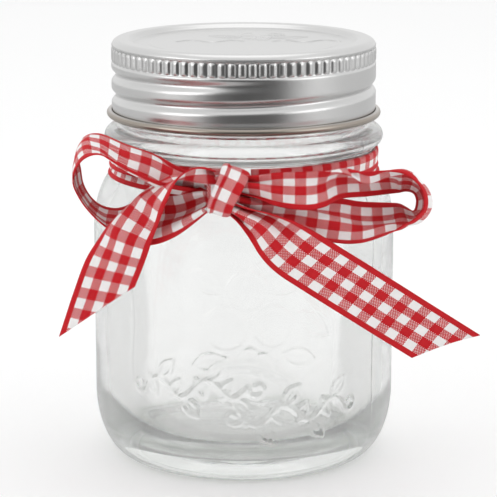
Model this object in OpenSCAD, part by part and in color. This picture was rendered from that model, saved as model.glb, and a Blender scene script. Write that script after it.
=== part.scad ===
// Small glass preserving jar with a one-piece screw cap and a gingham ribbon tied round its neck.
// Millimetres. The origin is the centre of the ring the jar stands on, +Z up, the bow faces -Y.

/* [Glass body] */
// Outside diameter of the straight side
body_d = 82; // [66:1:110]
// Height of the side up to where the shoulder starts
body_h = 62; // [40:1:140]
// Height of the shoulder curve between side and neck
shoulder_h = 17.5; // [14:0.5:24]
// Glass thickness of the side and shoulder
wall_t = 2.8; // [2:0.1:4]
// Glass thickness of the base
base_t = 3.8; // [2.5:0.1:6]
// Height of the rounded heel
heel_h = 18; // [12:0.5:24]
// How far the heel curve reaches in from the side
heel_w = 9; // [6:0.5:12]
// Width of the flat ring that the jar stands on
foot_w = 2.5; // [1.5:0.1:4]
// Height of the hollow under the base
push_up = 2.4; // [1:0.1:4]

/* [Neck and finish] */
// How far the neck, where the ribbon sits, stands out from the finish wall
neck_step = 1.75; // [1:0.05:4]
// Height of the neck below the collar ring
neck_h = 6.3; // [5:0.1:9]
// Height of the rounded collar ring
collar_h = 4.8; // [3.6:0.1:6]
// Height of the threaded finish above the collar ring
finish_h = 22.4; // [20:0.1:27]
// Diameter of the finish wall between threads
finish_d = 67.3; // [60:0.1:70]
// Glass thickness of the finish, from its wall to the bore of the mouth
finish_t = 3.35; // [2.5:0.05:5]
// Rounding of the rim's edges
rim_r = 0.7; // [0.4:0.05:1]

/* [Thread] */
// Rise of the thread in one turn
pitch = 5.5; // [4.8:0.1:6]
// Height of the glass thread above the finish wall
thread_depth = 1.25; // [0.8:0.05:1.3]
// Width of the glass thread at the wall
thread_w = 2.5; // [1.8:0.1:3]
// Turns of glass thread
thread_turns = 1.25; // [1:0.05:1.5]
// Depth of the thread rolled into the cap
roll_depth = 1.15; // [0.9:0.05:1.3]
// Radial clearance between the glass thread and the cap's skirt
crest_gap = 0.55; // [0.35:0.05:0.8]
// Clearance between the flanks of the two threads
flank_gap = 0.25; // [0.15:0.05:0.5]

/* [Cap] */
// Thickness of the cap's sheet metal
sheet_t = 0.3; // [0.25:0.01:0.4]
// Height of the cap from the bead's underside to the top
cap_h = 20.9; // [19.5:0.1:22]
// Radius of the shoulder round the top
cap_round = 2; // [1.2:0.1:2.6]
// Depth of the sunken centre panel
panel_depth = 1.2; // [0.6:0.1:1.6]
// How far the channel over the rim reaches out from the bore before the panel drops
panel_out = 1.3; // [1:0.1:1.6]
// Radius of the curled bead at the lower edge
bead_r = 0.95; // [0.8:0.05:1.1]
// Height of the ribbed grip band
grip_h = 4.2; // [3:0.1:5]
// Number of grip ribs
grip_n = 86; // [60:1:100]
// Height that the grip ribs stand out from the band
grip_depth = 0.4; // [0.25:0.05:0.5]

/* [Sealing ring] */
// Thickness of the sealing ring under the cap's top
gasket_t = 1; // [0.6:0.1:1.4]
// Clearance at both edges of the sealing ring in the cap's channel
gasket_gap = 0.1; // [0.05:0.05:0.3]

/* [Ribbon] */
// Thickness of the ribbon solids
ribbon_t = 0.7; // [0.5:0.1:0.9]
// Gap between the glass neck and the ribbon round it
ribbon_gap = 0.1; // [0.05:0.05:0.3]
// Gap above and below the ribbon round the neck
ribbon_end_gap = 0.4; // [0.3:0.1:0.8]
// Size of the rounded ends of the knot
knot_r = 3; // [2:0.1:3.5]

/* [Hidden] */
body_r = body_d / 2;
wall_r = finish_d / 2;
neck_r = wall_r + neck_step;
bore_r = wall_r - finish_t;
crest_r = wall_r + thread_depth;
cap_in_r = crest_r + crest_gap;
cap_r = cap_in_r + sheet_t;
neck_z = body_h + shoulder_h;
collar_z = neck_z + neck_h;
finish_z = collar_z + collar_h;
rim_z = finish_z + finish_h;
cap_in_z = rim_z + gasket_t;
cap_z = cap_in_z + sheet_t;
bead_z = cap_z - cap_h + bead_r;
foot_r = body_r - heel_w;
panel_r = bore_r + panel_out;
gasket_in_r = panel_r + gasket_gap;
gasket_out_r = cap_r - sheet_t / 2 - cap_round - gasket_gap;
steps = 48; // flats in one turn of thread

function arc(cx, cz, rx, rz, a0, a1, n) =
  [for (i = [0:n]) let (a = a0 + (a1 - a0) * i / n) [cx + rx * cos(a), cz + rz * sin(a)]];
function bez(a, b, c, d, n) =
  [for (i = [0:n]) let (t = i / n, u = 1 - t) a*u*u*u + 3*b*u*u*t + 3*c*u*t*t + d*t*t*t];
function unit(v) = v / max(norm(v), 1e-9);
function joined(ls) = [for (l = ls) for (p = l) p];

// ---- Glass jar ----
// Outside and inside of the glass in section, from the middle of the underside round to the base.
collar_rr = collar_h / 2;
inner_r = body_r - wall_t;
floor_z = push_up + base_t;
inner_heel = heel_w + 4;
jar_section = joined([
  [[0, push_up]],
  bez([foot_r - foot_w - 9, push_up], [foot_r - foot_w - 5, push_up], [foot_r - foot_w - 1.5, 0.4],
      [foot_r - foot_w, 0], 4),
  arc(foot_r, heel_h, heel_w, heel_h, -90, 0, 10),
  bez([body_r, body_h], [body_r, body_h + shoulder_h * 0.6], [neck_r + 2.2, neck_z - 3],
      [neck_r, neck_z], 9),
  arc(neck_r, collar_z + collar_rr, collar_rr, collar_rr, -90, 90, 10),
  [[(neck_r + wall_r) / 2, finish_z + 0.5], [wall_r, finish_z + 1.6]],
  arc(wall_r - rim_r, rim_z - rim_r, rim_r, rim_r, 0, 90, 3),
  arc(bore_r + rim_r, rim_z - rim_r, rim_r, rim_r, 90, 180, 3),
  [[bore_r, rim_z - finish_h * 0.45]],
  bez([bore_r, finish_z + 3], [bore_r, finish_z], [neck_r - wall_t, collar_z + collar_h],
      [neck_r - wall_t - 0.2, collar_z], 4),
  bez([neck_r - wall_t - 0.2, neck_z - 0.5], [neck_r - wall_t, neck_z - 5],
      [inner_r, body_h + shoulder_h * 0.45], [inner_r, body_h], 8),
  arc(inner_r - inner_heel, floor_z + heel_h - 4, inner_heel, heel_h - 4, 0, -90, 8),
  [[0, floor_z + 0.8]]
]);

// The cap's rolled groove climbs anticlockwise seen from above; this is its height at an angle.
groove_a0 = 5;
groove_a1 = 650;
groove_z0 = bead_z + bead_r + 1.2;
function groove_z(a) = groove_z0 + pitch * a / 360;
// The flanks' half-widths at the glass crest and the centre distance that leaves flank_gap.
crest_w = 1;
roll_w = 2.6;
roll_tip = 0.4;
inner_base_w = roll_w / 2 + 0.35;
inner_tip_w = roll_tip + 0.1;
roll_at_crest = inner_tip_w + (inner_base_w - inner_tip_w)
  * (crest_r - (cap_r - roll_depth - sheet_t)) / (roll_depth + sheet_t - 0.06);
thread_lift = roll_at_crest + crest_w / 2 + flank_gap;
thread_a1 = groove_a1;
thread_a0 = thread_a1 - 360 * thread_turns;

// How much of its full depth a thread has at an angle, between its faded ends.
function fade(a, a0, a1, w) = let (t = max(0, min(1, min(a - a0, a1 - a) / w))) t * t * (3 - 2 * t);

// A bar through a list of rings of four points, each ring counter-clockwise seen from the next.
module bar(rings) {
  n = len(rings);
  polyhedron(
    points = joined(rings),
    faces = concat(
      [[0, 1, 2], [0, 2, 3]],
      [for (i = [0:n - 2]) for (j = [0:3]) let (a = i * 4 + j, b = i * 4 + (j + 1) % 4) [a, a + 4, b]],
      [for (i = [0:n - 2]) for (j = [0:3]) let (a = i * 4 + j, b = i * 4 + (j + 1) % 4) [b, a + 4, b + 4]],
      [[n * 4 - 4, n * 4 - 2, n * 4 - 3], [n * 4 - 4, n * 4 - 1, n * 4 - 2]]));
}
// A ring of [radius, height] points at an angle round the jar, listed inner edge upwards first.
function ring_at(a, z, sec) = [for (p = sec) [p[0] * cos(a), p[0] * sin(a), z + p[1]]];

module glass_thread() {
  n = round(steps * thread_turns);
  bar([for (i = [0:n]) let (a = thread_a0 + (thread_a1 - thread_a0) * i / n,
      f = fade(a, thread_a0, thread_a1, 25), r = wall_r + 0.05 + (thread_depth - 0.05) * f)
    ring_at(a, groove_z(a) + thread_lift,
      [[wall_r - 0.4, -thread_w / 2 - 0.1], [wall_r - 0.4, thread_w / 2 + 0.1],
       [r, crest_w / 2], [r, -crest_w / 2]])]);
}

module jar() {
  color([0.86, 0.92, 0.90, 0.45]) union() {
    rotate_extrude($fn = 96) polygon(jar_section);
    glass_thread();
  }
}

// ---- Cap ----
// The sheet's middle line in section, from the curled bead up the skirt and in over the top.
m = cap_r - sheet_t / 2;
curl_r = bead_r - sheet_t / 2;
skirt_low_r = m - 0.25;
grip_z = cap_z - cap_round - grip_h;
grip_base_r = m - grip_depth;
top_z = cap_z - sheet_t / 2;
cap_line = joined([
  arc(skirt_low_r + curl_r, bead_z, curl_r, curl_r, 480, 180, 16),
  [[skirt_low_r, bead_z + 1], [m, bead_z + 2.4], [m, grip_z - 0.6], [grip_base_r, grip_z + 0.2],
   [grip_base_r, grip_z + grip_h - 0.3]],
  arc(m - cap_round, top_z - cap_round, cap_round, cap_round, 8, 90, 6),
  [[panel_r, top_z]],
  bez([panel_r - 0.5, top_z - 0.05], [panel_r - 1.1, top_z - 0.1], [panel_r - 1.4, top_z - panel_depth],
      [panel_r - 2.2, top_z - panel_depth], 4),
  [[0, top_z - panel_depth]]
]);
// Both faces of a sheet of thickness t along a line.
function side(line, d) = [for (i = [0:len(line) - 1])
  let (v = unit(line[min(i + 1, len(line) - 1)] - line[max(i - 1, 0)]))
  [max(0, line[i][0] - v[1] * d), line[i][1] + v[0] * d]];
function sheet(line, t) = concat(side(line, t / 2),
  [for (i = [len(line) - 1:-1:0]) side(line, -t / 2)[i]]);

// One ring of the grip band: ribs with flat crests and flat valleys.
module grip_band() {
  a = 360 / grip_n;
  valley = grip_base_r + sheet_t / 2 + 0.07;
  difference() {
    linear_extrude(grip_h) polygon(joined([for (i = [0:grip_n - 1])
      [for (q = [[0.08, valley], [0.26, cap_r - 0.02], [0.56, cap_r - 0.02], [0.74, valley]])
        [q[1] * cos(a * (i + q[0])), q[1] * sin(a * (i + q[0]))]]]));
    translate([0, 0, -1]) cylinder(r = grip_base_r, h = grip_h + 2, $fn = 180);
  }
}

// The rolled thread: a bar inside the skirt, and the groove that is cut into it from outside.
module roll(inside) {
  n = round(steps * (groove_a1 - groove_a0) / 360);
  bar([for (i = [0:n]) let (a = groove_a0 + (groove_a1 - groove_a0) * i / n,
      f = fade(a, groove_a0, groove_a1, 45), r = cap_r + 0.15 - (roll_depth + 0.15) * f)
    ring_at(a, groove_z(a), inside
      ? [[r - sheet_t, -inner_tip_w], [r - sheet_t, inner_tip_w], [cap_r - 0.06, inner_base_w],
         [cap_r - 0.06, -inner_base_w]]
      : [[r, -roll_tip], [r, roll_tip], [cap_r + 0.4, roll_w / 2 + 0.3],
         [cap_r + 0.4, -roll_w / 2 - 0.3]])]);
}

module cap() {
  color([0.74, 0.74, 0.73]) difference() {
    union() {
      rotate_extrude($fn = 96) polygon(sheet(cap_line, sheet_t));
      translate([0, 0, grip_z]) grip_band();
      roll(true);
    }
    roll(false);
  }
}

// ---- Sealing ring ----
module gasket() {
  color([0.90, 0.89, 0.84]) translate([0, 0, rim_z]) difference() {
    cylinder(r = gasket_out_r, h = gasket_t, $fn = 96);
    translate([0, 0, -1]) cylinder(r = gasket_in_r, h = gasket_t + 2, $fn = 96);
  }
}

// ---- Ribbon ----
// The bow's points are [x, how far in front of the side of the jar, height above the neck's foot],
// two for each station: the nearer or outer edge first.
function placed(p) = [p[0], -(body_r + p[1]), neck_z + p[2]];
band_in_r = neck_r + ribbon_gap;
band_out_r = band_in_r + ribbon_t;

left_loop_at = [
  [[-8, 3, 3], [-8, 0, 6]], [[-14, 4, 2.5], [-15, -2.5, 8.5]], [[-22, 7, 4], [-22.5, -5, 9]],
  [[-30, 8, 8.5], [-30.5, -6, 12]], [[-36, 6, 11], [-37, -9, 14]], [[-40.5, 2, 9], [-42, -12.5, 12]],
  [[-43.5, -3, 5], [-43.5, -16, 7]], [[-43.5, -4, 1], [-43, -18, 1]], [[-40, -1, -3.5], [-40.5, -14, -3.5]],
  [[-36.5, 3, -7], [-36.5, -10, -4.5]], [[-31, 5, -10.5], [-31.5, -6, -4.5]], [[-24, 6, -12], [-24, 1, 0.5]],
  [[-17, 5.5, -9.5], [-17, 2.5, 2]], [[-9, 3.5, -4], [-9, 2, 1.5]]];
right_loop_at = [
  [[-2.5, 3.5, 6], [-2.5, 1, 2.5]], [[7, 6, 7], [7, 0, 1.5]], [[15, 7, 7.5], [15.5, -0.5, 1]],
  [[23, 6.5, 7.5], [24, -2, 0.5]], [[30, 5, 7], [32, -5.5, 0]], [[36, 3.5, 7], [38, -8, 0]],
  [[41, 2.5, 6.5], [42, -9.5, -0.5]], [[45, 2, 3.5], [46, -11, -1.5]], [[46.5, 2.5, -0.5], [47.5, -11, -3]],
  [[45.5, 3, -4], [46, -10.5, -4.5]], [[42, 3.5, -7], [42.5, -9.5, -5]], [[37, 4, -9.5], [37, -8.5, -5]],
  [[30, 4.5, -11.5], [30, -6, -4]], [[22.5, 5, -11], [24, -4.5, -3]], [[12, 5, -8.5], [13, -2.5, -3]],
  [[-2.5, 3.5, -2.5], [-2.5, 1.5, 0]]];
left_tail_at = [
  [[-7, 5.5, 6.5], [-7, 5.5, 0.5]], [[-11, 8, 8], [-11.5, 7.5, 1]], [[-16.5, 9.5, 6.5], [-15.5, 9, 0]],
  [[-23.5, 9.5, 3], [-19.5, 9.5, -3.5]], [[-28.5, 9, -1], [-22, 9, -8]], [[-33, 7.5, -5.5], [-24, 8, -13]],
  [[-37, 6, -11], [-25.5, 7, -17.5]], [[-40.5, 4, -18], [-26.5, 6, -20.5]],
  [[-43.5, 2.5, -25.5], [-27.5, 5, -22.5]], [[-47.5, 1, -37], [-28, 4.5, -23.5]]];
right_tail_at = [
  [[-3, 6, -0.5], [-4.5, 6, -3]], [[3, 8, -3], [0.5, 7, -8]], [[9, 9, -4.5], [4, 8, -14]],
  [[16, 9, -7], [8, 8.5, -18]], [[24, 9, -11.5], [14.5, 8, -23]], [[31, 8, -16], [22, 7, -28]],
  [[40.5, 7, -22.5], [31.5, 5, -35]], [[50.5, 5, -29.5], [39, 4, -40]], [[60, 3, -36], [43.5, 3, -43]]];

// A smooth curve through a list of stations, k steps between two of them.
function cat(a, b, c, d, t) = (2 * b + (c - a) * t + (2 * a - 5 * b + 4 * c - d) * t * t
  + (3 * b - a - 3 * c + d) * t * t * t) / 2;
function smooth(s, k) = let (n = len(s) - 1) concat(
  [for (i = [0:n - 1]) for (j = [0:k - 1]) let (t = j / k)
    [for (e = [0, 1]) cat(s[max(i - 1, 0)][e], s[i][e], s[i + 1][e], s[min(i + 2, n)][e], t)]],
  [s[n]]);

// A strip of ribbon as a closed solid: both edges follow the stations and t is its thickness.
module strip(stations, t, k) {
  s = smooth([for (q = stations) [placed(q[0]), placed(q[1])]], k);
  n = len(s);
  bar([for (i = [0:n - 1]) let (
      mid0 = (s[max(i - 1, 0)][0] + s[max(i - 1, 0)][1]) / 2,
      mid1 = (s[min(i + 1, n - 1)][0] + s[min(i + 1, n - 1)][1]) / 2,
      u = unit(cross(mid1 - mid0, s[i][1] - s[i][0])) * t / 2)
    [s[i][0] - u, s[i][1] - u, s[i][1] + u, s[i][0] + u]]);
}

module ribbon_neck_band() {
  color([0.80, 0.20, 0.22]) difference() {
    translate([0, 0, neck_z + ribbon_end_gap])
      cylinder(r = band_out_r, h = neck_h - 2 * ribbon_end_gap, $fn = 96);
    translate([0, 0, neck_z - 1]) cylinder(r = band_in_r, h = neck_h + 2, $fn = 96);
  }
}
module ribbon_knot() {
  color([0.84, 0.35, 0.36]) difference() {
    hull() {
      for (p = [[-7.5, 4.5, -1], [-4, 4.5, -1], [-7, 4, 4.5], [-4, 4.5, 4]])
        translate(placed(p)) sphere(r = knot_r, $fn = 24);
      translate([-5.5, -band_out_r - 1, neck_z + neck_h / 2]) sphere(r = 2, $fn = 24);
    }
    translate([0, 0, neck_z - 4]) cylinder(r = band_out_r, h = neck_h + 8, $fn = 96);
  }
}
module ribbon_left_loop() color([0.83, 0.28, 0.30]) strip(left_loop_at, ribbon_t, 3);
module ribbon_right_loop() color([0.83, 0.28, 0.30]) strip(right_loop_at, ribbon_t, 3);
module ribbon_left_tail() color([0.85, 0.25, 0.27]) strip(left_tail_at, ribbon_t, 3);
module ribbon_right_tail() color([0.80, 0.18, 0.22]) strip(right_tail_at, ribbon_t, 3);

jar();
cap();
gasket();
ribbon_neck_band();
ribbon_knot();
ribbon_left_loop();
ribbon_right_loop();
ribbon_left_tail();
ribbon_right_tail();
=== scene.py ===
"""A small clear glass preserving jar with a one-piece screw cap, and a gingham ribbon tied in a bow
round its neck. Lengths in the making code are millimetres in the CAD frame, and go into the meshes
as metres. Every piece stands where its CAD node stands."""

import math

import bpy
import numpy as np
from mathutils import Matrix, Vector


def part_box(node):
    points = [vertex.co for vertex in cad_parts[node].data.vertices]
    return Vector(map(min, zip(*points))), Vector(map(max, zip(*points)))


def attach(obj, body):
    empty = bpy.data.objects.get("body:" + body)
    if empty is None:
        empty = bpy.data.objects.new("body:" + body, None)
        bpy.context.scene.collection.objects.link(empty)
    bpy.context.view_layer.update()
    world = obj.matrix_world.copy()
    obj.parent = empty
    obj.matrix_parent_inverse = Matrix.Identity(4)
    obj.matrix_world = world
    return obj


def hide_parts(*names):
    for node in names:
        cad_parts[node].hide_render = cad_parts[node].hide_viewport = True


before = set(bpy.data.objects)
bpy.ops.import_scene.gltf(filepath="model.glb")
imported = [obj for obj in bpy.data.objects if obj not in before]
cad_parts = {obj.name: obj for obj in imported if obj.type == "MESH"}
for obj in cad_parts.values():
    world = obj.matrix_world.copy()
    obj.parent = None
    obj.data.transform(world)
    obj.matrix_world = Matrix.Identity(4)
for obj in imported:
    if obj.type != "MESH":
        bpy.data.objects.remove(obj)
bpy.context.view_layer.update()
MM = 0.001
TAU = 2 * math.pi


# ------------------------------------------------------------------ camera
cam_data = bpy.data.cameras.new("Camera")
cam_data.lens = 165.2
cam_data.sensor_width = 36
cam_data.clip_start = 0.01
cam_data.clip_end = 60
cam = bpy.data.objects.new("Camera", cam_data)
bpy.context.scene.collection.objects.link(cam)
cam.location = (0.0013, -0.6124, 0.1934)
cam.rotation_euler = (math.radians(77.35), 0, 0)
bpy.context.scene.camera = cam


# ------------------------------------------------------------------ mesh helpers
def grid(name, points, wrap=False, uv=None, flip=False, caps=()):
    """A mesh of rows by columns of points in mm. wrap joins the last column to the first. uv gives a
    (rows, columns, 2) map in mm. caps lists rows that are closed with one point at their middle."""
    rows, cols = points.shape[:2]
    co = points.reshape(-1, 3) * MM
    i, j = np.meshgrid(np.arange(rows - 1), np.arange(cols if wrap else cols - 1), indexing="ij")
    j2 = (j + 1) % cols
    quads = np.stack([i * cols + j, i * cols + j2, (i + 1) * cols + j2, (i + 1) * cols + j], -1)
    quads = quads.reshape(-1, 4)
    if flip:
        quads = quads[:, ::-1]
    faces = quads.tolist()
    verts = co.tolist()
    for row, turn in caps:
        ring = co[row * cols : (row + 1) * cols]
        verts.append(ring.mean(0).tolist())
        k = len(verts) - 1
        for a in range(cols):
            b = (a + 1) % cols
            f = [row * cols + a, row * cols + b, k]
            faces.append(f if turn else f[::-1])
    mesh = bpy.data.meshes.new(name)
    mesh.from_pydata(verts, [], faces)
    if uv is not None:
        layer = mesh.uv_layers.new(name="Weave")
        flat = np.vstack([uv.reshape(-1, 2)] + [uv[row].mean(0)[None] for row, _ in caps])
        loops = np.zeros(len(mesh.loops), np.int32)
        mesh.loops.foreach_get("vertex_index", loops)
        layer.uv.foreach_set("vector", flat[loops].astype(np.float32).ravel())
    mesh.shade_smooth()
    mesh.update()
    ob = bpy.data.objects.new(name, mesh)
    bpy.context.scene.collection.objects.link(ob)
    return ob


def arc(cx, cz, rx, rz, a0, a1, n):
    a = np.radians(np.linspace(a0, a1, n + 1))
    return np.stack([cx + rx * np.cos(a), cz + rz * np.sin(a)], 1)


def bez(a, b, c, d, n):
    t = np.linspace(0, 1, n + 1)[:, None]
    a, b, c, d = map(np.array, (a, b, c, d))
    return a * (1 - t) ** 3 + 3 * b * (1 - t) ** 2 * t + 3 * c * (1 - t) * t**2 + d * t**3


def line(a, b, n):
    t = np.linspace(0, 1, n + 1)[:, None]
    return np.array(a) * (1 - t) + np.array(b) * t


def chain(*parts):
    """Profiles end to end, without the doubled points where they meet."""
    p = np.vstack(parts)
    keep = np.r_[True, np.linalg.norm(np.diff(p, axis=0), axis=1) > 1e-4]
    return p[keep]


def normals2(p):
    """Outward normals of a section that runs from the bottom outside upwards."""
    d = np.gradient(p, axis=0)
    n = np.stack([d[:, 1], -d[:, 0]], 1)
    return n / np.maximum(np.linalg.norm(n, axis=1, keepdims=True), 1e-9)


def smoothstep(x):
    x = np.clip(x, 0, 1)
    return x * x * (3 - 2 * x)


def lathe(profile, angles, push=None):
    """Rows of profile by columns of angles. push(angle, r, z) gives how far each point moves along
    the section's normal, in mm."""
    n = normals2(profile)
    a = angles[None, :]
    r = profile[:, :1] + 0 * a
    z = profile[:, 1:] + 0 * a
    if push is not None:
        h = push(0 * r + a, r, z)
        r, z = r + n[:, :1] * h, z + n[:, 1:] * h
    return np.stack([r * np.cos(a), r * np.sin(a), z], -1)


def stroke(x, z, pts, w, h):
    """Height of a rounded ridge of half-width w along a polyline, at points x, z."""
    best = np.full(x.shape, 1e9)
    for (ax, az), (bx, bz) in zip(pts[:-1], pts[1:]):
        dx, dz = bx - ax, bz - az
        t = np.clip(((x - ax) * dx + (z - az) * dz) / (dx * dx + dz * dz + 1e-9), 0, 1)
        best = np.minimum(best, np.hypot(x - ax - t * dx, z - az - t * dz))
    return h * smoothstep(1.25 * (1 - best / w))


def leaf(x, z, cx, cz, length, width, turn, h):
    """A pointed leaf with a raised rim and midrib."""
    a = math.radians(turn)
    u = (x - cx) * math.cos(a) + (z - cz) * math.sin(a)
    v = -(x - cx) * math.sin(a) + (z - cz) * math.cos(a)
    t = np.clip(u / length, -1, 1)
    half = width * (1 - t * t)
    rim = np.abs(np.abs(v) - half)
    on = np.abs(u) <= length + 0.5
    ridge = h * smoothstep(1.3 * (1 - rim / 0.75)) * on
    rib = 0.7 * h * smoothstep(1.3 * (1 - np.abs(v) / 0.5)) * (np.abs(u) < length * 0.85)
    body = 0.35 * h * smoothstep((half - np.abs(v)) / 0.6) * on
    return np.maximum(np.maximum(ridge, rib), body)


def ball(x, z, cx, cz, r, h):
    """A round fruit in low relief: a dome with a raised edge."""
    d = np.hypot(x - cx, z - cz)
    dome = 0.8 * h * np.sqrt(np.clip(1 - (d / r) ** 2, 0, 1))
    edge = h * smoothstep(1.3 * (1 - np.abs(d - r) / 0.8))
    return np.maximum(dome, edge)


# ------------------------------------------------------------------ sizes, in mm
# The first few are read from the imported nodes. The rest repeat the part's own sizes, which the frame
# doesn't hold.
jar_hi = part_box("jar")[1]
cap_lo, cap_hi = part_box("cap")
BODY_R = jar_hi.x / MM
RIM_Z = jar_hi.z / MM
CAP_TOP = cap_hi.z / MM
BEAD_R = 0.95
BEAD_Z = cap_lo.z / MM + BEAD_R
NECK_R, NECK_Z, COLLAR_Z, COLLAR_H = 35.4, 79.5, 85.8, 4.8
FINISH_Z = COLLAR_Z + COLLAR_H
WALL_R, BORE_R, PITCH = 33.65, 30.3, 5.5
CAP_R = 35.75
FOOT_R = BODY_R - 9
THREAD_END = 650  # degrees from the thread's zero to where the ridge and the roll both stop
THREAD_SWEEP = 450
SEAMS = (327, 147)  # degrees; opposite sides of the body


# ------------------------------------------------------------------ glass jar
def groove_z(a_deg):
    return BEAD_Z + BEAD_R + 1.2 + PITCH * a_deg / 360


def wrapped(fn, a, first, last):
    """The largest of fn over every turn of a helix that passes angle a, in degrees."""
    out = 0
    a = np.degrees(a) % 360
    for k in range(int(first // 360), int(last // 360) + 1):
        at = a + 360 * k
        out = np.maximum(out, fn(at) * ((at >= first) & (at <= last)))
    return out


def glass_relief(a, r, z):
    """Everything that stands out from the glass's smooth outside."""
    x = r * ((a - 1.5 * math.pi + math.pi) % TAU - math.pi)  # along the surface from the front
    h = np.zeros_like(x)
    area = (np.abs(x) < 36) & (z > 8) & (z < 70)
    X, Z = x[area], z[area]
    f = np.zeros_like(X)
    # a spray of round fruit and leaves
    for cx, cz, q in ((1.0, 53.5, 5.2), (-4.5, 43.5, 5.8), (7.5, 44.0, 5.4)):
        f = np.maximum(f, ball(X, Z, cx, cz, q, 0.42))
    for cx, cz in ((1.6, 36.6), (5.0, 35.2), (8.4, 36.4), (3.3, 33.2), (6.8, 32.4)):
        f = np.maximum(f, ball(X, Z, cx, cz, 1.7, 0.45))
    for q in ((11.5, 56.0, 5.5, 2.6, 25), (19.0, 44.0, 5.5, 2.7, -35), (-9.5, 56.0, 5.0, 2.4, 150),
              (14.5, 35.5, 4.5, 2.2, -10), (-9.0, 34.5, 4.5, 2.2, 195)):
        f = np.maximum(f, leaf(X, Z, *q, 0.42))
    f = np.maximum(f, stroke(X, Z, [(1, 58.5), (2.5, 61), (5.5, 62.5)], 0.6, 0.4))
    # two vines low on the side
    for x0, z0, s in ((-27.0, 26.5, 1), (0.0, 20.0, -1)):
        t = np.linspace(0, 1, 60)
        vine = [(x0 + 28 * q, z0 + s * 2.4 * math.sin(2 * TAU * q) + 1.2 * q) for q in t]
        f = np.maximum(f, stroke(X, Z, vine, 1.0, 0.6))
        for k in range(4):
            q = (k + 0.5) / 4
            up = s * (1 if k % 2 == 0 else -1)
            cx, cz = x0 + 28 * q, z0 + 2.4 * up + 1.2 * q
            f = np.maximum(f, leaf(X, Z, cx + 2.2, cz + 2.6 * up, 3.2, 1.5, 50 * up, 0.5))
            f = np.maximum(f, leaf(X, Z, cx - 1.9, cz - 2.2 * up, 2.6, 1.2, 115 * up, 0.5))
        for end in (-1, 1):
            cx, cz = x0 + 14 + 16.6 * end, z0 + 0.6 + 0.6 * end
            curl = []
            for i in range(9):
                size = 2.8 - 0.3 * i
                curl.append((cx - end * size * math.cos(0.75 * i), cz - size * math.sin(0.75 * i)))
            f = np.maximum(f, stroke(X, Z, curl, 0.9, 0.55))
    h[area] = f
    # mould seams on opposite sides of the body
    for seam in SEAMS:
        d = np.abs((np.degrees(a) - seam + 180) % 360 - 180) * math.pi / 180 * r
        h = np.maximum(h, 0.10 * smoothstep(1 - d / 0.22) * (z > 6) * (z < 90))
    # the thread
    first, last = THREAD_END - THREAD_SWEEP, THREAD_END

    def ridge(at):
        zt = groove_z(at) + 1.75
        fade = smoothstep(np.minimum(at - first, last - at) / 25)
        return 1.25 * fade * smoothstep(1.5 * (1 - np.abs(z - zt) / 1.35))

    return h + wrapped(ridge, a, first, last) * (z > 95) * (r > 33)


def build_jar():
    pr = chain(
        bez((0.6, 2.4), (12, 2.4), (18, 2.4), (20.5, 2.4), 6),
        bez((20.5, 2.4), (24.5, 2.4), (28, 0.4), (29.5, 0), 8),
        line((29.5, 0), (FOOT_R, 0), 3),
        arc(FOOT_R, 18, 9, 18, -90, -42, 16),
        arc(FOOT_R, 18, 9, 18, -42, 0, 26),
        line((BODY_R, 18), (BODY_R, 62), 110),
        bez((BODY_R, 62), (BODY_R, 72.5), (NECK_R + 2.2, NECK_Z - 3), (NECK_R, NECK_Z), 26),
        line((NECK_R, NECK_Z), (NECK_R, COLLAR_Z - 0.6), 5),
        arc(NECK_R, COLLAR_Z + 2.4, 2.4, 2.4, -84, 84, 22),
        bez((NECK_R + 0.2, FINISH_Z), (NECK_R - 0.6, FINISH_Z + 0.1), (WALL_R + 0.1, FINISH_Z + 0.6),
            (WALL_R, FINISH_Z + 1.8), 8),
        line((WALL_R, FINISH_Z + 1.8), (WALL_R, RIM_Z - 1.4), 62),
        arc(WALL_R - 0.8, RIM_Z - 0.8, 0.8, 0.8, 0, 90, 7),
        line((WALL_R - 0.8, RIM_Z), (BORE_R + 0.7, RIM_Z), 3),
    )
    inner = chain(
        arc(BORE_R + 0.7, RIM_Z - 0.7, 0.7, 0.7, 90, 180, 6),
        line((BORE_R, RIM_Z - 0.7), (BORE_R, RIM_Z - 10), 8),
        bez((BORE_R, FINISH_Z + 12), (BORE_R, FINISH_Z + 4), (NECK_R - 2.9, COLLAR_Z + 4.6),
            (NECK_R - 3.0, COLLAR_Z), 12),
        bez((NECK_R - 3.0, NECK_Z - 0.5), (NECK_R - 2.8, NECK_Z - 5), (BODY_R - 2.8, 70),
            (BODY_R - 2.8, 62), 18),
        line((BODY_R - 2.8, 62), (BODY_R - 2.8, 20.2), 30),
        arc(BODY_R - 15.8, 20.2, 13, 14, 0, -90, 20),
        bez((BODY_R - 15.8, 6.2), (15, 6.2), (8, 6.9), (0.6, 7.0), 10),
    )
    front = np.arange(218, 322, 0.5)
    seams = np.concatenate([s + np.array([-0.5, -0.3, -0.15, 0, 0.15, 0.3, 0.5]) for s in SEAMS])
    rest = np.arange(322, 578, 2.0) % 360
    rest = np.array([q for q in rest if min(abs(q - s) for s in SEAMS) > 1.2])
    angles = np.radians(np.sort(np.concatenate([front, seams, rest])))
    outside = lathe(pr, angles, glass_relief)

    def waves(a, _r, z):
        w = 0.10 * np.sin(2 * a + 0.06 * z) + 0.07 * np.sin(5 * a - 0.11 * z + 1) \
            + 0.05 * np.sin(0.23 * z + 3 * a)
        return w * smoothstep((z - 8) / 12) * smoothstep((84 - z) / 12)

    inside = lathe(inner, angles, waves)
    pts = np.vstack([outside, inside])
    ob = grid("jar_glass", pts, wrap=True, caps=((0, False), (len(pts) - 1, True)))
    return ob


# ------------------------------------------------------------------ cap
RIBS = 86


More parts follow.
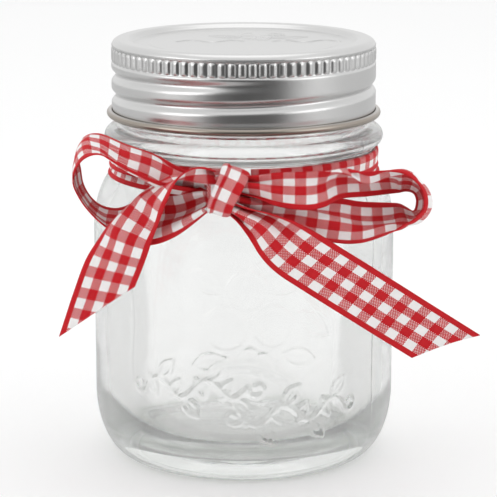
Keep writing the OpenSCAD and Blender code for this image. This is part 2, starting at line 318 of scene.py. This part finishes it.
def cap_relief(a, r, z):
    """Grip ribs, the rolled thread and the panel's decoration, along the section's normal."""
    h = np.zeros_like(r)
    skirt = (z < CAP_TOP - 1) & (r > 34)
    grip0, grip1 = CAP_TOP - 2 - 4.2, CAP_TOP - 2
    q = (a * RIBS / TAU) % 1
    rib = smoothstep((q - 0.06) / 0.16) * smoothstep((0.76 - q) / 0.16)
    ends = smoothstep((z - grip0 - 0.1) / 0.5) * smoothstep((grip1 - 0.1 - z) / 0.5)
    h += np.where(skirt, 0.40 * rib * ends, 0)
    first, last = 5, THREAD_END

    def roll(at):
        fade = smoothstep(np.minimum(at - first, last - at) / 60)
        return 1.15 * fade * np.cos(np.clip(np.abs(z - groove_z(at)) / 2.15, 0, 1) * math.pi / 2) ** 2.4

    h -= wrapped(roll, a, first, last) * (z > BEAD_Z + 0.8) * (z < grip0 - 0.2) * skirt
    x, y = r * np.cos(a), r * np.sin(a)
    on = (r < 27.5) & (z > CAP_TOP - 3)
    X, Y = x[on], y[on]
    f = np.zeros_like(X)
    for cx, cy in ((2.0, 8.5), (6.2, 10.2), (4.6, 6.0)):
        f = np.maximum(f, ball(X, Y, cx, cy, 2.1, 0.2))
    for q in ((-5.0, 11.0, 4.4, 2.0, 160), (12.5, 9.0, 4.4, 2.0, 15), (0.5, 14.5, 3.6, 1.7, 70),
              (9.0, 14.6, 3.6, 1.7, 110)):
        f = np.maximum(f, leaf(X, Y, *q, 0.2))
    for s in (-1, 1):
        wave = [(4 + s * (4 + 18 * t), 1.5 + 1.8 * math.sin(TAU * 1.6 * t)) for t in np.linspace(0, 1, 30)]
        f = np.maximum(f, stroke(X, Y, wave, 0.5, 0.2))
    d = np.hypot(X, Y)
    f = np.maximum(f, 0.16 * smoothstep(1.4 * (1 - np.abs(d - 25.6) / 0.7)))
    h[on] = f
    return h


def build_cap():
    m = CAP_R - 0.15
    cr = BEAD_R - 0.15
    top = CAP_TOP - 0.15
    grip = CAP_TOP - 2 - 4.2
    low = m - 0.25
    panel = BORE_R + 1.3
    pr = chain(
        arc(low + cr, BEAD_Z, cr, cr, 480, 180, 26),
        bez((low, BEAD_Z), (low, BEAD_Z + 0.9), (m - 0.1, BEAD_Z + 1.6), (m, BEAD_Z + 2.4), 6),
        line((m, BEAD_Z + 2.4), (m, grip - 0.5), 46),
        bez((m, grip - 0.5), (m, grip - 0.1), (m - 0.4, grip), (m - 0.4, grip + 0.4), 5),
        line((m - 0.4, grip + 0.4), (m - 0.4, grip + 3.8), 9),
        bez((m - 0.4, grip + 3.8), (m - 0.4, grip + 4.2), (m - 0.05, grip + 4.2), (m - 0.02, grip + 4.5), 4),
        arc(m - 2, top - 2, 2, 2, 9, 90, 12),
        line((m - 2, top), (panel, top), 4),
        bez((panel, top), (panel - 1.0, top), (panel - 1.2, top - 1.2), (panel - 2.4, top - 1.2), 9),
        line((panel - 2.4, top - 1.2), (8, top - 1.25), 62),
        line((8, top - 1.25), (0.4, top - 1.25), 18),
    )
    angles = np.arange(RIBS * 8) * TAU / (RIBS * 8)
    pts = lathe(pr, angles, cap_relief)
    ob = grid("cap_shell", pts, wrap=True, caps=((len(pts) - 1, True),))
    add = ob.modifiers.new("Sheet", "SOLIDIFY")
    add.thickness = 0.3 * MM
    add.offset = 0
    return ob


# ------------------------------------------------------------------ ribbon
WIDTH = 15.0
COLS = 30


def catmull(p, k):
    """A smooth curve through p, k steps to a span."""
    p = np.asarray(p, float)
    n = len(p)
    out = []
    for i in range(n - 1):
        a, b, c, d = p[max(i - 1, 0)], p[i], p[i + 1], p[min(i + 2, n - 1)]
        for t in np.arange(k) / k:
            out.append((2 * b + (c - a) * t + (2 * a - 5 * b + 4 * c - d) * t * t
                        + (3 * b - a - 3 * c + d) * t**3) / 2)
    out.append(p[-1])
    return np.array(out)


def unit(v):
    return v / np.maximum(np.linalg.norm(v, axis=-1, keepdims=True), 1e-9)


def folded(a, b, n, modes, width):
    """Points from a to b along a path as long as width. Where a and b are closer than that, the rest
    goes into folds along n: modes weighs one, two, three... folds."""
    v = np.linspace(0, 1, 241)
    wave = sum(m * np.sin((i + 1) * math.pi * v) for i, m in enumerate(modes))
    chord = np.linalg.norm(b - a)

    def length(k):
        return np.hypot(np.diff(v) * chord, np.diff(wave) * k).sum()

    lo, hi = 0.0, 40.0
    for _ in range(40):
        mid = (lo + hi) / 2
        lo, hi = (mid, hi) if length(mid) < width else (lo, mid)
    return a + (b - a) * v[:, None] + n * (wave * lo)[:, None]


def reach(p, q, most):
    """q, brought in towards p if it is further off than most."""
    d = np.linalg.norm(q - p)
    return q if d <= most else p + (q - p) * most / d


def across(a, b, n, modes, crease, at):
    """The ribbon's points from edge a to edge b, with a sharp crease at width at if it has one."""
    if at:
        a, b = reach(crease, a, at * 0.995), reach(crease, b, (WIDTH - at) * 0.995)
        pts = np.vstack([folded(a, crease, n, ONE, at)[:-1], folded(crease, b, n, modes, WIDTH - at)])
    else:
        mid = (a + b) / 2
        a, b = reach(mid, a, WIDTH * 0.499), reach(mid, b, WIDTH * 0.499)
        pts = folded(a, b, n, modes, WIDTH)
    run = np.r_[0, np.cumsum(np.linalg.norm(np.diff(pts, axis=0), axis=1))]
    s = np.linspace(0, run[-1], COLS + 1)
    return np.stack([np.interp(s, run, pts[:, i]) for i in range(3)], 1)


def ribbon(name, stations, phase=0.0, k=14, cut=None, crease=0.0):
    """A strip of ribbon. A station is (edge a, edge b, fold weights) and, for a ribbon creased along
    its length at that width, where the crease is. cut gives the lengths at which edge a and edge b
    end, for a slanting end. phase is where the weave starts."""
    a = catmull([q[0] for q in stations], k)
    b = catmull([q[1] for q in stations], k)
    m = catmull([list(q[2]) + [0] * (6 - len(q[2])) for q in stations], k)
    on_line = [np.array(q[0]) + (np.array(q[1]) - q[0]) * crease / WIDTH for q in stations]
    c = catmull([q[3] if len(q) > 3 else on_line[i] for i, q in enumerate(stations)], k)
    t = unit(np.gradient((a + b) / 2, axis=0))
    n = unit(np.cross(t, b - a))
    pts = np.array([across(a[i], b[i], n[i], m[i], c[i], crease) for i in range(len(a))])
    centre = pts.mean(1)
    run = np.r_[0, np.cumsum(np.linalg.norm(np.diff(centre, axis=0), axis=1))]
    ends = (run[-1], run[-1]) if cut is None else cut
    rows = max(12, int(max(ends) / 0.45))
    out = np.zeros((rows + 1, COLS + 1, 3))
    uv = np.zeros((rows + 1, COLS + 1, 2))
    for j in range(COLS + 1):
        end = ends[0] + (ends[1] - ends[0]) * j / COLS
        at = np.linspace(0, end, rows + 1)
        for c in range(3):
            out[:, j, c] = np.interp(at, run, pts[:, j, c])
        uv[:, j, 0] = at + phase
        uv[:, j, 1] = WIDTH * j / COLS
    ob = grid(name, out, uv=uv)
    add = ob.modifiers.new("Thickness", "SOLIDIFY")
    add.thickness = 0.32 * MM
    add.offset = 0
    return ob


ONE = (1, 0, 0)
PLEAT = (0.2, 0.2, 1.0, 0.15, 0.5)

LEFT_LOOP = [
    ((-8, -42.5, 80.5), (-8, -41, 83), PLEAT),
    ((-13.5, -43.3, 81.4), (-14, -38.5, 84.6), (0.3, 0.3, 1, 0.1, 0.2)),
    ((-22, -46.5, 83.9), (-22.5, -35, 88.4), (0.6, 0.9, 0.3)),
    ((-30, -48.5, 87.9), (-30.5, -35, 91.3), (1, 0.7, 0)),
    ((-36, -46.5, 90.6), (-37, -32, 93.4), (0.7, 0.5, 0)),
    ((-40.3, -42.5, 88.9), (-41.4, -28, 91.8), (-1, 0, 0)),
    ((-43, -38.5, 85.2), (-43.3, -23.7, 87.1), (-1, 0, 0)),
    ((-43.8, -37, 81.8), (-42.9, -22.1, 82.3), (-1, 0, 0)),
    ((-42.8, -38, 79), (-42.1, -23.1, 78.3), (-1, 0, 0)),
    ((-40.2, -40.5, 75.6), (-39.6, -25.6, 75), (-1, 0, 0)),
    ((-36.2, -41.6, 71.7), (-36.1, -26.8, 73.1), (-1, 0, 0)),
    ((-31, -42.4, 68.5), (-31.2, -28.4, 73.5), (-1, 0, 0)),
    ((-24, -44.5, 66.8), (-24.3, -36, 79), (-0.5, 0.6, 0.2)),
    ((-17, -45, 69.4), (-17.6, -40, 80.2), (-0.2, 0.6, 0.6)),
    ((-9, -44.5, 75.6), (-9, -43.5, 80.8), PLEAT),
]
RIGHT_LOOP = [
    ((-2.5, -42, 83.5), (-2.5, -43, 80.5), (0.2, 0.2, 1, 0.1, 0.4), (-2.5, -44.5, 85)),
    ((3, -42, 83.3), (3.5, -45.5, 79.3), (0.2, 0.3, 1), (3, -45.5, 85.1)),
    ((9, -43, 84), (9, -46.5, 77.3), (0.5, 0.3, 0.6), (9, -46.5, 86)),
    ((16, -43.5, 84.3), (16, -46.8, 76.4), (0.8, 0.3, 0.2), (16, -47, 86.3)),
    ((21, -43.6, 84.6), (20.5, -45.3, 76.9), (1, 0.3, 0), (21, -46.8, 86.4)),
    ((26, -44.6, 85.6), (25, -40, 78), (1, 0.2, 0), (26, -45.8, 85.6)),
    ((31, -45.2, 85.9), (32, -36, 77.8), (1, 0, 0), (31.2, -43.6, 82.6)),
    ((36.5, -43.8, 85.9), (38, -32.8, 77.9), (1, 0, 0)),
    ((41, -43, 85), (42, -30.6, 77.9), (1, 0, 0), (41.9, -40.2, 84.3)),
    ((44.2, -43, 82.6), (44.3, -29.5, 77.3), (1, 0, 0), (45.8, -39.4, 82)),
    ((45.7, -43.3, 79.6), (45, -29.3, 75.2), (1, 0, 0), (47.9, -39.6, 79)),
    ((45.3, -44, 76.2), (44.3, -29.8, 72.7), (1, 0, 0), (48, -40.2, 75.1)),
    ((42.8, -44.3, 73.4), (42.6, -30.2, 73.6), (1, 0, 0), (45.1, -40.6, 71.8)),
    ((40.2, -44.6, 71.7), (40.4, -30.8, 74.8), (1, 0, 0), (41, -41.2, 71.3)),
    ((37.5, -45, 70.2), (37, -32, 75.3), (1, 0, 0)),
    ((30, -45.8, 67.8), (30, -35, 76.3), (0.8, -0.3, 0)),
    ((22.5, -46, 68), (24, -37, 77.6), (0.4, -0.6, 0)),
    ((12, -46, 70.5), (13, -39.5, 78.6), (0.2, -0.6, 0.5)),
    ((-2.5, -44.5, 76.5), (-2.5, -43.5, 80.3), PLEAT),
]
LEFT_TAIL = [
    ((-7, -43.5, 79.5), (-7, -45, 86), (0.3, 0.3, 1, 0.1, 0.4)),
    ((-10.5, -42.8, 79.8), (-10.5, -48, 87.4), (0.5, 0.4, 0.8)),
    ((-15, -38.5, 80.8), (-13.8, -50, 87.2), (0.3, 0.5, 0.5)),
    ((-19.2, -36.9, 82.1), (-17, -51, 84.5), (0.5, 0.5, 0.3)),
    ((-23.4, -37.4, 81), (-19.3, -51.4, 79.5), (1, 0, 0)),
    ((-28.4, -40, 77), (-21.3, -51, 74.2), (0.6, 0.4, 0)),
    ((-33.3, -42.4, 72.9), (-23, -50.4, 69.6), (0.6, 0.4, 0)),
    ((-36.8, -43.4, 68.4), (-24.4, -49.4, 65.1), (1, 0, 0)),
    ((-40.6, -43.6, 62.3), (-26.4, -47.8, 59.6), (1, 0, 0)),
    ((-43.2, -43.2, 55.5), (-28.6, -46.6, 53.6), (1, 0, 0)),
    ((-45.4, -42.5, 48.8), (-31, -45.5, 46.8), (1, 0, 0)),
    ((-47.6, -42, 42.2), (-33.2, -44.9, 40), (1, 0, 0)),
    ((-49.6, -41.5, 36), (-35.2, -44.4, 34), (1, 0, 0)),
]
RIGHT_TAIL = [
    ((-3.5, -46.3, 78.2), (-4.5, -46, 75.8), PLEAT),
    ((1, -48, 77), (-1.6, -47.5, 73.6), (0.2, 0.3, 1, 0.1, 0.3)),
    ((6.5, -49.4, 76), (1, -48.6, 70.3), (0.2, 0.6, 0.9, 0.1)),
    ((12.5, -50.3, 74.2), (4.2, -49.4, 65.2), (0.2, 0.8, 0.4)),
    ((18.5, -50.6, 71.3), (8.2, -49.8, 61), (0.4, 0.7, 0.1)),
    ((24.5, -50.4, 67.6), (14, -49.4, 56.8), (0.8, 0.3, 0)),
    ((31.2, -49.6, 63.3), (21.6, -48.4, 51.6), (1, 0, 0)),
    ((38.5, -48.4, 58.3), (29.2, -47, 46.5), (1, 0, 0)),
    ((46, -47, 53.1), (37, -45.6, 41.3), (1, 0, 0)),
    ((53.5, -45.5, 48), (44.6, -44.3, 36.2), (1, 0, 0)),
    ((61, -44, 42.9), (52.2, -43, 31.1), (1, 0, 0)),
    ((68.5, -42.6, 37.8), (59.8, -41.8, 26), (1, 0, 0)),
]


def build_band():
    """The ribbon round the neck: it lies on the foot of the neck, turns over under the collar and
    hangs down over itself."""
    a = np.radians(np.linspace(-90 + 3, 270 - 3, 260))
    rows, uvs = [], []
    for t in a:
        s = 0.5 * math.sin(2 * t + 0.8) + 0.35 * math.sin(5 * t)
        low = 78.0 + 0.5 * math.sin(t + 0.5) + 0.15 * s
        sec = catmull([(36.9, low), (35.95, 79.6), (35.7, 82), (35.75, 84.4 + 0.1 * s),
                       (36.1, 84.95 + 0.1 * s), (36.5, 84.2), (36.45, 82.6 + 0.2 * s),
                       (36.3, 80.9 + 0.5 * s), (36.55, 80.1 + 0.5 * s)], 8)
        run = np.r_[0, np.cumsum(np.linalg.norm(np.diff(sec, axis=0), axis=1))]
        at = np.linspace(0, run[-1], COLS + 1)
        r, z = np.interp(at, run, sec[:, 0]), np.interp(at, run, sec[:, 1])
        rows.append(np.stack([r * math.cos(t), r * math.sin(t), z], 1))
        uvs.append(np.stack([0 * at + 36.2 * t, WIDTH * at / run[-1]], 1))
    ob = grid("ribbon_band", np.array(rows), uv=np.array(uvs), flip=True)
    add = ob.modifiers.new("Thickness", "SOLIDIFY")
    add.thickness = 0.3 * MM
    add.offset = 0
    return ob


def build_knot():
    """One turn of ribbon over the gathered middle, its edges turned under and one pleat at its left."""
    path = catmull([(-1.6, -38.5, 84.4), (-1.6, -42.3, 86.2), (-1.9, -45.3, 86), (-2.6, -47.4, 84.6),
                    (-4.2, -48.7, 81.6), (-5.7, -48.6, 78.2), (-6.3, -47.4, 76), (-6.5, -44.4, 75.2),
                    (-6, -41, 77), (-5.5, -38.5, 79)], 10)
    wide = catmull([(3.2, 0.2, -1), (3.3, 0.3, -1.3), (3.3, 0.4, -1.4), (3.3, 0.2, -1.1),
                    (3.4, -0.4, -0.3), (3.1, -0.3, -0.6), (2.9, -0.2, -0.85), (2.9, 0, -0.8),
                    (3, 0, -0.5), (3, 0, -0.4)], 10)
    t = unit(np.gradient(path, axis=0))
    sec = catmull([(0.1, -1.2), (-0.5, -1.3), (-0.92, -1.05), (-1, -0.4), (-0.9, 0.12), (-0.6, 0.38),
                   (-0.66, 0.12), (-0.8, -0.12), (-0.55, 0.08), (-0.15, 0.22), (0.3, 0.3), (0.75, 0.12),
                   (0.98, -0.3), (0.94, -0.9), (0.5, -1.25), (0.15, -1.2)], 8)
    rows = []
    for i in range(len(path)):
        w = wide[i] - t[i] * np.dot(wide[i], t[i])
        n = unit(np.cross(t[i], w))
        p = path[i] + sec[:, :1] * w + sec[:, 1:] * n
        run = np.r_[0, np.cumsum(np.linalg.norm(np.diff(p, axis=0), axis=1))]
        at = np.linspace(0, run[-1], 2 * COLS + 1)
        rows.append(np.stack([np.interp(at, run, p[:, c]) for c in range(3)], 1))
    rows = np.array(rows)
    run = np.r_[0, np.cumsum(np.linalg.norm(np.diff(path, axis=0), axis=1))]
    uv = np.zeros(rows.shape[:2] + (2,))
    uv[..., 0] = run[:, None] + 1.5
    uv[..., 1] = np.linspace(-1.2, WIDTH - 1.2, 2 * COLS + 1)[None, :]
    ob = grid("ribbon_knot_wrap", rows, uv=uv)
    add = ob.modifiers.new("Thickness", "SOLIDIFY")
    add.thickness = 0.32 * MM
    add.offset = 0
    return ob


def build_core():
    """The gathered ribbon inside the knot, seen only as dark folds at its sides."""
    a = np.linspace(0, TAU, 40, endpoint=False)
    rows, uvs = [], []
    for i, x in enumerate(np.linspace(-9.3, -1.9, 18)):
        q = (x + 5.6) / 3.7
        r = 1 + 0.10 * np.sin(6 * a + 0.3 * i)
        ry, rz = 2.3 * math.sqrt(max(0.15, 1 - 0.35 * q * q)), 3.8 * math.sqrt(max(0.2, 1 - 0.3 * q * q))
        rows.append(np.stack([0 * a + x, -43.6 + ry * r * np.cos(a), 80.9 + rz * r * np.sin(a)], 1))
        uvs.append(np.stack([0 * a + 2 + i * 0.4, (a / TAU * 13) % 13 + 1], 1))
    return grid("ribbon_knot_core", np.array(rows), wrap=True, uv=np.array(uvs), flip=True,
                caps=((0, True), (17, False)))


# ------------------------------------------------------------------ materials
UNLIT_TURN = 0.06  # radians from -Y to the middle of the studio's unlit part


class Nodes:
    """A short way to write node trees."""

    def __init__(self, name):
        self.mat = bpy.data.materials.new(name)
        self.mat.use_nodes = True
        self.tree = self.mat.node_tree
        self.tree.nodes.clear()

    def new(self, kind, inputs=None, out=0, **props):
        n = self.tree.nodes.new("ShaderNode" + kind)
        for k, v in props.items():
            setattr(n, k, v)
        for k, v in (inputs or {}).items():
            if isinstance(v, bpy.types.NodeSocket):
                self.tree.links.new(v, n.inputs[k])
            else:
                n.inputs[k].default_value = v
        return n.outputs[out]

    def maths(self, op, a, b=0.0, c=None):
        inputs = {0: a, 1: b}
        if c is not None:
            inputs[2] = c
        return self.new("Math", inputs, operation=op)

    def mix(self, f, a, b):
        return self.new("Mix", {0: f, 6: a, 7: b}, out=2, data_type="RGBA")

    def finish(self, surface, volume=None):
        out = self.tree.nodes.new("ShaderNodeOutputMaterial")
        self.tree.links.new(surface, out.inputs["Surface"])
        if volume is not None:
            self.tree.links.new(volume, out.inputs["Volume"])
        return self.mat


def glass_material():
    m = Nodes("Jar glass")
    co = m.new("TexCoord", out=3)
    noise = m.new("TexNoise", {"Vector": co, "Scale": 60.0, "Detail": 2.0, "Roughness": 0.5})
    bump = m.new("Bump", {"Height": noise, "Strength": 0.05, "Distance": 0.0006})
    z = m.new("SeparateXYZ", {0: co}).node.outputs[2]
    foot = m.new("MapRange", {0: z, 1: 0.0002, 2: 0.0016, 3: 1.0, 4: 0.0}, interpolation_type="SMOOTHSTEP")
    tone = m.mix(foot, (0.960, 0.962, 0.959, 1), (0.76, 0.81, 0.75, 1))
    glass = m.new("BsdfPrincipled", {
        "Base Color": tone, "Roughness": 0.0, "IOR": 1.46,
        "Transmission Weight": 1.0, "Normal": bump})
    clear = m.new("BsdfTransparent", {"Color": (0.955, 0.96, 0.955, 1)})
    thin = m.new("BsdfTransparent", {"Color": (0.94, 0.943, 0.94, 1)})
    soft = m.new("MixShader", {0: 0.20, 1: glass, 2: thin})
    both = m.new("MixShader", {0: m.new("LightPath", out=1), 1: soft, 2: clear})
    tint = m.new("VolumeAbsorption", {"Color": (0.45, 0.58, 0.48, 1), "Density": 2.0})
    return m.finish(both, tint)


def metal_material():
    m = Nodes("Satin tinplate")
    co = m.new("TexCoord", out=3)
    fine = m.new("TexNoise", {"Vector": co, "Scale": 900.0, "Detail": 3.0, "Roughness": 0.6})
    broad = m.new("TexNoise", {"Vector": co, "Scale": 45.0, "Detail": 3.0, "Roughness": 0.55})
    rough = m.new("MapRange", {0: broad, 1: 0.3, 2: 0.7, 3: 0.27, 4: 0.34})
    tone = m.mix(m.new("MapRange", {0: broad, 1: 0.3, 2: 0.7, 3: 0.0, 4: 1.0}),
                 (0.62, 0.62, 0.615, 1), (0.66, 0.66, 0.655, 1))
    xyz = m.new("SeparateXYZ", {0: co})
    # Painted reflection and shade: the curled bead at the foot of the skirt, below 95.6 mm, is painted a
    # dark warm brown-grey that stands in for the near floor it mirrors and the shade it sits in.
    curl = m.new("MapRange", {0: xyz.node.outputs[2], 1: 0.0950, 2: 0.0956, 3: 1.0, 4: 0.0})
    tone = m.mix(curl, tone, (0.36, 0.32, 0.28, 1))
    bump = m.new("Bump", {"Height": fine, "Strength": 0.12, "Distance": 0.0001})
    return m.finish(m.new("BsdfPrincipled", {
        "Base Color": tone, "Metallic": 1.0, "Roughness": rough, "Normal": bump}))


def seal_material():
    m = Nodes("Plastisol seal")
    co = m.new("TexCoord", out=3)
    n = m.new("TexNoise", {"Vector": co, "Scale": 400.0, "Detail": 4.0, "Roughness": 0.6})
    tone = m.mix(n, (0.74, 0.72, 0.65, 1), (0.82, 0.80, 0.74, 1))
    bump = m.new("Bump", {"Height": n, "Strength": 0.2, "Distance": 0.0002})
    rough = m.new("MapRange", {0: n, 1: 0.0, 2: 1.0, 3: 0.45, 4: 0.6})
    return m.finish(m.new("BsdfPrincipled", {"Base Color": tone, "Roughness": rough, "Normal": bump}))


def gingham_material():
    """Plain-woven gingham. The map is in millimetres: X along the ribbon and Y across it."""
    m = Nodes("Gingham ribbon")
    uv = m.new("UVMap", uv_map="Weave")
    xyz = m.new("SeparateXYZ", {0: uv})
    s, w = xyz, xyz.node.outputs[1]
    inside = m.maths("MULTIPLY", m.maths("GREATER_THAN", w, 1.5), m.maths("LESS_THAN", w, 13.5))
    column = m.maths("FLOOR", m.maths("DIVIDE", m.maths("SUBTRACT", w, 1.5), 2.4))
    odd = m.maths("FLOORED_MODULO", column, 2.0)
    warp = m.maths("MULTIPLY", odd, inside)
    weft = m.maths("LESS_THAN", m.maths("FRACT", m.maths("DIVIDE", s, 5.9)), 0.5)
    thread = 0.3
    j = m.maths("FLOOR", m.maths("DIVIDE", w, thread))
    turn = m.maths("FRACT", m.maths("MULTIPLY", m.maths("ADD", m.maths("DIVIDE", s, thread), j), 0.5))
    over = m.maths("LESS_THAN", turn, m.maths("MULTIPLY_ADD", warp, 0.56, 0.25))
    top = m.maths("ADD", m.maths("MULTIPLY", over, warp),
                  m.maths("MULTIPLY", m.maths("SUBTRACT", 1.0, over), weft))
    red = m.maths("MAXIMUM", top, m.maths("SUBTRACT", 1.0, inside))
    co = m.new("TexCoord", out=3)
    mottle = m.new("TexNoise", {"Vector": co, "Scale": 700.0, "Detail": 3.0, "Roughness": 0.6})
    reds = m.mix(mottle, (0.44, 0.007, 0.012, 1), (0.65, 0.019, 0.026, 1))
    whites = m.mix(mottle, (0.80, 0.77, 0.765, 1), (0.93, 0.91, 0.905, 1))
    colour = m.mix(red, whites, reds)
    along = m.maths("ABSOLUTE", m.maths("SINE", m.maths("MULTIPLY", s, math.pi / thread)))
    across = m.maths("ABSOLUTE", m.maths("SINE", m.maths("MULTIPLY", w, math.pi / thread)))
    height = m.maths("ADD", m.maths("MULTIPLY", over, across),
                     m.maths("MULTIPLY", m.maths("SUBTRACT", 1.0, over), along))
    bump = m.new("Bump", {"Height": height, "Strength": 0.5, "Distance": 0.00008})
    rough = m.new("MapRange", {0: mottle, 1: 0.2, 2: 0.8, 3: 0.68, 4: 0.82})
    return m.finish(m.new("BsdfPrincipled", {
        "Base Color": colour, "Roughness": rough, "Specular IOR Level": 0.15,
        "Sheen Weight": 0.05, "Sheen Roughness": 0.5, "Normal": bump}))


def floor_material():
    """Pale to the camera. Where a surface mirrors it, it is darker in front: that stands for the unlit
    part of a studio and gives the cap its dark band. The patch is no real object."""
    m = Nodes("Pale floor")
    co = m.new("TexCoord", out=3)
    n = m.new("TexNoise", {"Vector": co, "Scale": 2.0, "Detail": 2.0})
    tone = m.mix(n, (0.93, 0.93, 0.93, 1), (0.95, 0.95, 0.95, 1))
    xyz = m.new("SeparateXYZ", {0: co})
    back = m.maths("MULTIPLY", xyz.node.outputs[1], -1.0)
    off = m.maths("ABSOLUTE", m.maths("SUBTRACT", m.maths("ARCTAN2", xyz, back), UNLIT_TURN))
    ahead = m.new("MapRange", {0: back, 1: 0.10, 2: 0.34, 3: 0.0, 4: 1.0},
                  interpolation_type="SMOOTHSTEP")
    middle = m.new("MapRange", {0: off, 1: 0.4, 2: 1.15, 3: 1.0, 4: 0.0}, interpolation_type="SMOOTHSTEP")
    dark = m.maths("MULTIPLY", ahead, middle)
    mirrored = m.mix(dark, (0.66, 0.66, 0.66, 1), (0.01, 0.01, 0.01, 1))
    path = m.new("LightPath", out=3)
    glossy = m.maths("MULTIPLY", path, path.node.outputs[5])
    return m.finish(m.new("BsdfPrincipled", {"Base Color": m.mix(glossy, tone, mirrored),
                                             "Roughness": 0.6, "Specular IOR Level": 0.2}))


# ------------------------------------------------------------------ making the pieces
GLASS, METAL, SEAL, GINGHAM = glass_material(), metal_material(), seal_material(), gingham_material()


def wear(ob, material, body, slot, *nodes):
    ob.data.materials.clear()
    ob.data.materials.append(material)
    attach(ob, body)
    if nodes:
        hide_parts(*nodes)
    return ob


wear(build_jar(), GLASS, "jar_and_bow", "glass", "jar")
wear(build_cap(), METAL, "screw_cap", "cap_metal", "cap")
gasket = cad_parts["gasket"]
gasket.data.materials.clear()
gasket.data.materials.append(SEAL)

wear(build_band(), GINGHAM, "jar_and_bow", "ribbon", "ribbon_neck_band")
wear(build_core(), GINGHAM, "jar_and_bow", "ribbon", "ribbon_knot")
wear(build_knot(), GINGHAM, "jar_and_bow", "ribbon", "ribbon_knot")
wear(ribbon("ribbon_loop_left", LEFT_LOOP, phase=1.0), GINGHAM, "jar_and_bow", "ribbon",
     "ribbon_left_loop")
wear(ribbon("ribbon_loop_right", RIGHT_LOOP, phase=2.0, crease=3.9), GINGHAM, "jar_and_bow", "ribbon",
     "ribbon_right_loop")
wear(ribbon("ribbon_tail_left", LEFT_TAIL, phase=0.5, cut=(61.6, 43.8)), GINGHAM, "jar_and_bow", "ribbon",
     "ribbon_left_tail")
wear(ribbon("ribbon_tail_right", RIGHT_TAIL, phase=3.0, cut=(73.5, 62.9)), GINGHAM, "jar_and_bow",
     "ribbon", "ribbon_right_tail")


# ------------------------------------------------------------------ floor, lights, world
bpy.ops.mesh.primitive_plane_add(size=14, location=(0, 0, 0))
floor = bpy.context.object
floor.name = "Floor"
floor.data.materials.append(floor_material())


def area(name, location, target, size, power):
    data = bpy.data.lights.new(name, "AREA")
    data.shape = "RECTANGLE"
    data.size, data.size_y = size
    data.energy = power
    ob = bpy.data.objects.new(name, data)
    bpy.context.scene.collection.objects.link(ob)
    ob.location = location
    ob.rotation_euler = (Vector(target) - Vector(location)).to_track_quat("-Z", "Y").to_euler()
    return ob


area("Left softbox", (-1.35, -1.0, 0.6), (0, 0, 0.07), (1.3, 1.1), 6)
area("Right softbox", (1.45, -0.9, 0.6), (0, 0, 0.07), (1.3, 1.1), 5)
area("Top softbox", (0, 0.3, 1.7), (0, 0, 0.05), (1.4, 1.2), 3)

world = bpy.data.worlds.new("World")
bpy.context.scene.world = world
world.use_nodes = True
tree = world.node_tree
tree.nodes.clear()


def node(kind, inputs, **props):
    n = tree.nodes.new("ShaderNode" + kind)
    for k, v in props.items():
        setattr(n, k, v)
    for k, v in inputs.items():
        if isinstance(v, bpy.types.NodeSocket):
            tree.links.new(v, n.inputs[k])
        else:
            n.inputs[k].default_value = v
    return n.outputs


def maths(op, a, b=0.0):
    return node("Math", {0: a, 1: b}, operation=op)[0]


def fade(value, near, far):
    """1 up to near, 0 from far on."""
    return node("MapRange", {0: value, 1: near, 2: far, 3: 1.0, 4: 0.0},
                interpolation_type="SMOOTHSTEP")[0]


# white all round, with the unlit part of the room low in front
way = node("SeparateXYZ", {0: node("TexCoord", {})["Generated"]})
turned = maths("SUBTRACT", maths("ARCTAN2", way[0], maths("MULTIPLY", way[1], -1.0)), UNLIT_TURN)
unlit = maths("MULTIPLY", fade(maths("ABSOLUTE", turned), 0.35, 1.1), fade(way[2], 0.35, 0.75))
tone = node("Mix", {0: unlit, 6: (0.99, 0.99, 0.99, 1), 7: (0.12, 0.12, 0.12, 1)}, data_type="RGBA")[2]
sky = node("Background", {0: tone, 1: 1.0})[0]
tree.links.new(sky, tree.nodes.new("ShaderNodeOutputWorld").inputs["Surface"])
bpy.context.scene.view_settings.view_transform = "Standard"
